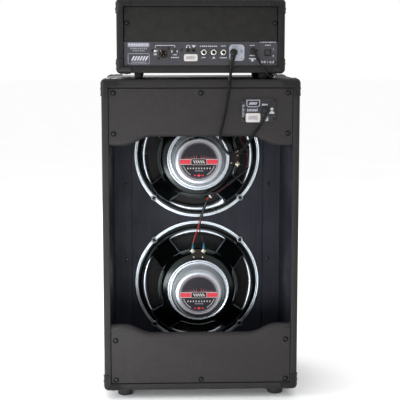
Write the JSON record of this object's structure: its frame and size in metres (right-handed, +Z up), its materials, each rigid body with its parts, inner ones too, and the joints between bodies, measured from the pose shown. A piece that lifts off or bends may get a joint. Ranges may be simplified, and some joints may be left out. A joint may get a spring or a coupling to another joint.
{
  "type": "guitar amplifier half stack",
  "caption": "Half stack guitar amplifier: a small head with front controls and rear sockets, on feet on a tall open-backed speaker cabinet, joined by a hanging speaker lead.",
  "frame": {"origin": "on the floor, under the middle of the cabinet and its corner protectors, leads left out", "axes": "+X to the right as a player sees the front, +Y out of the open back with the sockets, +Z up"},
  "size_m": [0.4336, 0.3238, 0.8838],
  "materials": {
    "vinyl": "fine grained black vinyl covering over plywood, satin",
    "vinyl_board": "fine grained black vinyl covering over plywood, satin",
    "grille_cloth": "woven black grille cloth over a frame",
    "panel_black": "satin black printed sheet steel",
    "bare_steel": "zinc plated sheet steel",
    "circuit_board": "green solder mask",
    "raw_aluminium": "bare extruded aluminium",
    "black_plastic": "moulded black plastic, fine texture",
    "black_rubber": "matt black rubber",
    "jack_metal": "nickel plated nuts and noses on black bodies",
    "rocker_plastic": "glossy black plastic",
    "white_plastic": "off-white plastic",
    "knob_plastic": "black moulded knob with a white pointer",
    "control_metal": "plated potentiometer and switch cans",
    "lamp_lens": "red lens",
    "black_wood": "plywood stained and sprayed black",
    "screw_black": "blackened steel screws and cup washers",
    "basket_steel": "glossy dark metallic paint on pressed steel, bright rim",
    "magnet_cover": "polished cover with a round printed label",
    "cone_paper": "black paper cone, doped cloth edge",
    "tag_board": "brown fibre board with plated tags and blue crimp sleeves",
    "wire_sleeve": "red and black plastic wire insulation",
    "lead_jacket": "black flexible lead jacket"
  },
  "bodies": {
    "root": {"head_top": "vinyl", "head_bottom": "vinyl", "head_side_left": "vinyl", "head_side_right": "vinyl", "head_back_board": "vinyl_board", "head_front_board": "grille_cloth", "rear_panel": "panel_black", "front_panel": "panel_black", "chassis_tray": "bare_steel", "main_board": "circuit_board", "heat_sink": "raw_aluminium", "corner_protectors": "black_plastic", "head_feet": "black_rubber", "input_jack": "jack_metal", "rear_jacks": "jack_metal", "xlr_socket": "black_plastic", "mini_jacks": "black_plastic", "dc_inlet": "black_plastic", "rocker_bezel": "black_plastic", "control_bodies": "control_metal", "pilot_lamp": "lamp_lens", "cab_top": "vinyl", "cab_bottom": "vinyl", "cab_side_left": "vinyl", "cab_side_right": "vinyl", "cab_back_upper": "vinyl_board", "cab_back_lower": "vinyl_board", "cleats": "black_wood", "baffle": "black_wood", "front_grille": "grille_cloth", "cab_feet": "black_rubber", "input_plate": "panel_black", "cab_input_jack": "jack_metal", "screws": "screw_black", "upper_basket": "basket_steel", "upper_magnet": "magnet_cover", "lower_basket": "basket_steel", "lower_magnet": "magnet_cover", "suspensions": "cone_paper", "speaker_terminals": "tag_board", "harness": "wire_sleeve", "speaker_lead": "lead_jacket", "lead_plugs": "black_plastic", "dc_plug": "black_plastic", "dc_lead": "lead_jacket", "dc_coil": "lead_jacket", "supply_brick": "black_plastic"},
    "power_rocker": {"power_rocker": "rocker_plastic"},
    "lift_switch": {"lift_switch": "white_plastic"},
    "sim_button": {"sim_button": "rocker_plastic"},
    "channel_button": {"channel_button": "white_plastic"},
    "gain_knob": {"gain_knob": "knob_plastic"},
    "drive_knob": {"drive_knob": "knob_plastic"},
    "volume_knob": {"volume_knob": "knob_plastic"},
    "bass_knob": {"bass_knob": "knob_plastic"},
    "middle_knob": {"middle_knob": "knob_plastic"},
    "treble_knob": {"treble_knob": "knob_plastic"},
    "reverb_knob": {"reverb_knob": "knob_plastic"},
    "upper_cone": {"upper_cone": "cone_paper"},
    "lower_cone": {"lower_cone": "cone_paper"}
  },
  "joints": [
    {"name": "rocker_tilt", "type": "hinge", "parent": "root", "child": "power_rocker", "pos_m": [-0.1438, 0.145, 0.7684], "axis": [1, 0, 0], "range_deg": [-20, 0]},
    {"name": "lift_slide", "type": "slide", "parent": "root", "child": "lift_switch", "axis": [-1, 0, 0], "range_m": [0, 0.003]},
    {"name": "sim_press", "type": "slide", "parent": "root", "child": "sim_button", "axis": [0, -1, 0], "range_m": [0, 0.002], "stiffness_N_per_m": 300},
    {"name": "channel_press", "type": "slide", "parent": "root", "child": "channel_button", "axis": [0, 1, 0], "range_m": [0, 0.002], "stiffness_N_per_m": 300},
    {"name": "gain_turn", "type": "hinge", "parent": "root", "child": "gain_knob", "pos_m": [0.092, -0.0405, 0.766], "axis": [0, 1, 0], "range_deg": [-150, 150]},
    {"name": "drive_turn", "type": "hinge", "parent": "root", "child": "drive_knob", "pos_m": [0.058, -0.0405, 0.766], "axis": [0, 1, 0], "range_deg": [-150, 150]},
    {"name": "volume_turn", "type": "hinge", "parent": "root", "child": "volume_knob", "pos_m": [0.024, -0.0405, 0.766], "axis": [0, 1, 0], "range_deg": [-150, 150]},
    {"name": "bass_turn", "type": "hinge", "parent": "root", "child": "bass_knob", "pos_m": [-0.01, -0.0405, 0.766], "axis": [0, 1, 0], "range_deg": [-150, 150]},
    {"name": "middle_turn", "type": "hinge", "parent": "root", "child": "middle_knob", "pos_m": [-0.044, -0.0405, 0.766], "axis": [0, 1, 0], "range_deg": [-150, 150]},
    {"name": "treble_turn", "type": "hinge", "parent": "root", "child": "treble_knob", "pos_m": [-0.078, -0.0405, 0.766], "axis": [0, 1, 0], "range_deg": [-150, 150]},
    {"name": "reverb_turn", "type": "hinge", "parent": "root", "child": "reverb_knob", "pos_m": [-0.112, -0.0405, 0.766], "axis": [0, 1, 0], "range_deg": [-150, 150]},
    {"name": "upper_cone_slide", "type": "slide", "parent": "root", "child": "upper_cone", "axis": [0, 1, 0], "range_m": [-0.004, 0.004], "stiffness_N_per_m": 6600},
    {"name": "lower_cone_slide", "type": "slide", "parent": "root", "child": "lower_cone", "axis": [0, 1, 0], "range_m": [-0.004, 0.004], "stiffness_N_per_m": 6600}
  ]
}
